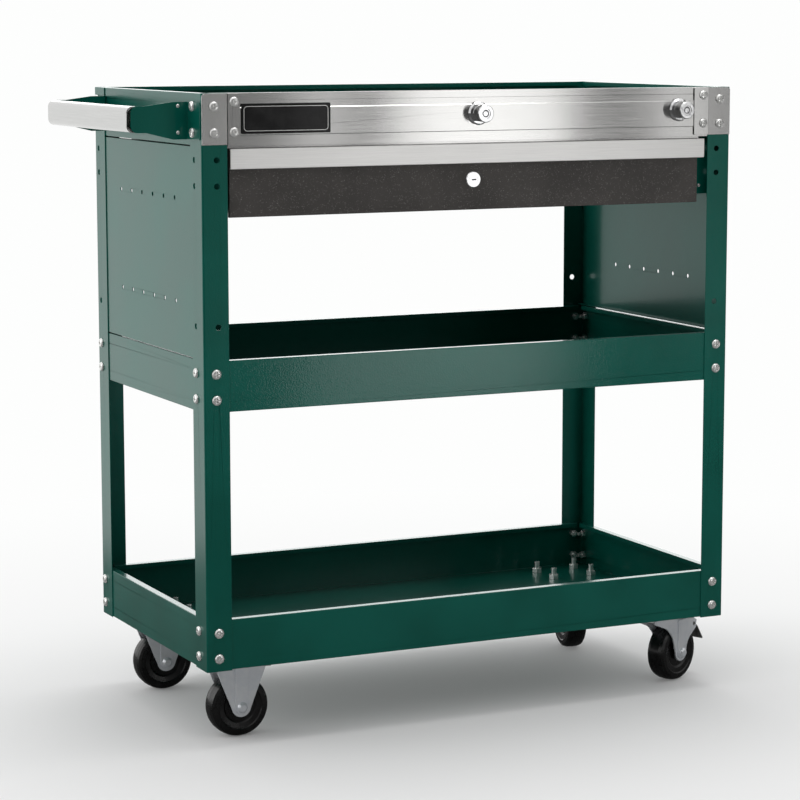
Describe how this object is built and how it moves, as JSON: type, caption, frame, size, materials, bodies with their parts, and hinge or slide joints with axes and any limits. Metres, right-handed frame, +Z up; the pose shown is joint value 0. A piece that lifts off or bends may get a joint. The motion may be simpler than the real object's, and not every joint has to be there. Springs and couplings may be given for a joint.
{
  "type": "tool cart",
  "caption": "Rolling steel tool cart with open trays, a lockable slide-out drawer, perforated side panels, a side push handle, fixed casters and braked swivel casters.",
  "frame": {"origin": "on the floor under the middle of the cart's bounding box", "axes": "+X along the front, away from the handle; +Y from the drawer's face to the open rear; +Z up"},
  "size_m": [0.8547, 0.417, 0.8205],
  "materials": {
    "green_paint": "glossy powder coat",
    "stainless": "brushed",
    "black_plate": "gloss",
    "chrome": "polished",
    "zinc_steel": "bright zinc plate",
    "brake_steel": "dull zinc plate",
    "black_paint": "fine textured powder coat",
    "satin_aluminium": "satin anodised",
    "black_rubber": "glossy moulded"
  },
  "bodies": {
    "root": {"post_front_left": "green_paint", "post_front_right": "green_paint", "post_rear_left": "green_paint", "post_rear_right": "green_paint", "bottom_tray": "green_paint", "middle_tray": "green_paint", "top_tray": "green_paint", "side_panel_left": "green_paint", "side_panel_right": "green_paint", "slide_bracket_left": "green_paint", "slide_bracket_right": "green_paint", "handle_arm_front": "green_paint", "handle_arm_rear": "green_paint", "front_fascia": "stainless", "fascia_bracket_left": "stainless", "fascia_bracket_right": "stainless", "corner_plate_left": "stainless", "corner_plate_right": "stainless", "handle_grip": "stainless", "label_plate": "black_plate", "lock_body_centre": "chrome", "lock_body_right": "chrome", "lock_nuts": "zinc_steel", "frame_screws": "zinc_steel", "frame_nuts": "zinc_steel", "fascia_screws": "zinc_steel", "handle_rivets": "zinc_steel", "rigid_axles": "zinc_steel", "caster_bolts": "zinc_steel", "caster_nuts": "zinc_steel", "rigid_fork_front": "zinc_steel", "rigid_fork_rear": "zinc_steel", "swivel_plate_front": "zinc_steel", "swivel_plate_rear": "zinc_steel", "slide_outer_left": "zinc_steel", "slide_outer_right": "zinc_steel"},
    "drawer": {"drawer_front": "black_paint", "drawer_pull": "satin_aluminium", "drawer_box": "black_paint", "drawer_lock_body": "chrome", "slide_inner_left": "zinc_steel", "slide_inner_right": "zinc_steel"},
    "slide_floats": {"slide_middle_left": "zinc_steel", "slide_middle_right": "zinc_steel"},
    "drawer_lock": {"drawer_lock_plug": "chrome", "drawer_lock_cam": "zinc_steel"},
    "lock_centre": {"lock_core_centre": "chrome", "lock_cam_centre": "zinc_steel"},
    "lock_right": {"lock_core_right": "chrome", "lock_cam_right": "zinc_steel"},
    "swivel_front": {"swivel_fork_front": "zinc_steel", "swivel_axle_front": "zinc_steel"},
    "swivel_rear": {"swivel_fork_rear": "zinc_steel", "swivel_axle_rear": "zinc_steel"},
    "brake_front": {"brake_lever_front": "brake_steel"},
    "brake_rear": {"brake_lever_rear": "brake_steel"},
    "wheel_front_left": {"wheel_front_left": "black_rubber"},
    "wheel_rear_left": {"wheel_rear_left": "black_rubber"},
    "wheel_front_right": {"wheel_front_right": "black_rubber"},
    "wheel_rear_right": {"wheel_rear_right": "black_rubber"}
  },
  "joints": [
    {"name": "drawer_slide", "type": "slide", "parent": "root", "child": "drawer", "axis": [0, -1, 0], "range_m": [0, 0.33]},
    {"name": "drawer_slide_float", "type": "slide", "parent": "root", "child": "slide_floats", "axis": [0, -1, 0], "range_m": [0, 0.165]},
    {"name": "drawer_lock_turn", "type": "hinge", "parent": "drawer", "child": "drawer_lock", "pos_m": [0.02683, -0.1862, 0.7065], "axis": [0, -1, 0], "range_deg": [0, 90]},
    {"name": "lock_turn_centre", "type": "hinge", "parent": "root", "child": "lock_centre", "pos_m": [0.03058, -0.1862, 0.791], "axis": [0, -1, 0], "range_deg": [0, 90]},
    {"name": "lock_turn_right", "type": "hinge", "parent": "root", "child": "lock_right", "pos_m": [0.32858, -0.1862, 0.791], "axis": [0, -1, 0], "range_deg": [0, 90]},
    {"name": "wheel_spin_front_left", "type": "hinge", "parent": "root", "child": "wheel_front_left", "pos_m": [-0.28442, -0.1262, 0.04], "axis": [0, 1, 0], "continuous": true},
    {"name": "swivel_front_turn", "type": "hinge", "parent": "root", "child": "swivel_front", "pos_m": [0.34558, -0.1262, 0.09], "axis": [0, 0, 1], "continuous": true},
    {"name": "wheel_spin_front_right", "type": "hinge", "parent": "swivel_front", "child": "wheel_front_right", "pos_m": [0.37154, -0.11571, 0.04], "axis": [-0.3746, 0.9272, 0], "continuous": true},
    {"name": "brake_front_press", "type": "hinge", "parent": "swivel_front", "child": "brake_front", "pos_m": [0.39844, -0.10484, 0.07647], "axis": [-0.3746, 0.9272, 0], "range_deg": [0, 12]},
    {"name": "wheel_spin_rear_left", "type": "hinge", "parent": "root", "child": "wheel_rear_left", "pos_m": [-0.28442, 0.1448, 0.04], "axis": [0, 1, 0], "continuous": true},
    {"name": "swivel_rear_turn", "type": "hinge", "parent": "root", "child": "swivel_rear", "pos_m": [0.34558, 0.1448, 0.09], "axis": [0, 0, 1], "continuous": true},
    {"name": "wheel_spin_rear_right", "type": "hinge", "parent": "swivel_rear", "child": "wheel_rear_right", "pos_m": [0.34072, 0.11722, 0.04], "axis": [0.9848, -0.1736, 0], "continuous": true},
    {"name": "brake_rear_press", "type": "hinge", "parent": "swivel_rear", "child": "brake_rear", "pos_m": [0.33568, 0.08866, 0.07647], "axis": [0.9848, -0.1736, 0], "range_deg": [0, 12]}
  ],
  "couplings": [
    {"joint": "drawer_slide_float", "follows": "drawer_slide", "ratio": 0.5}
  ]
}
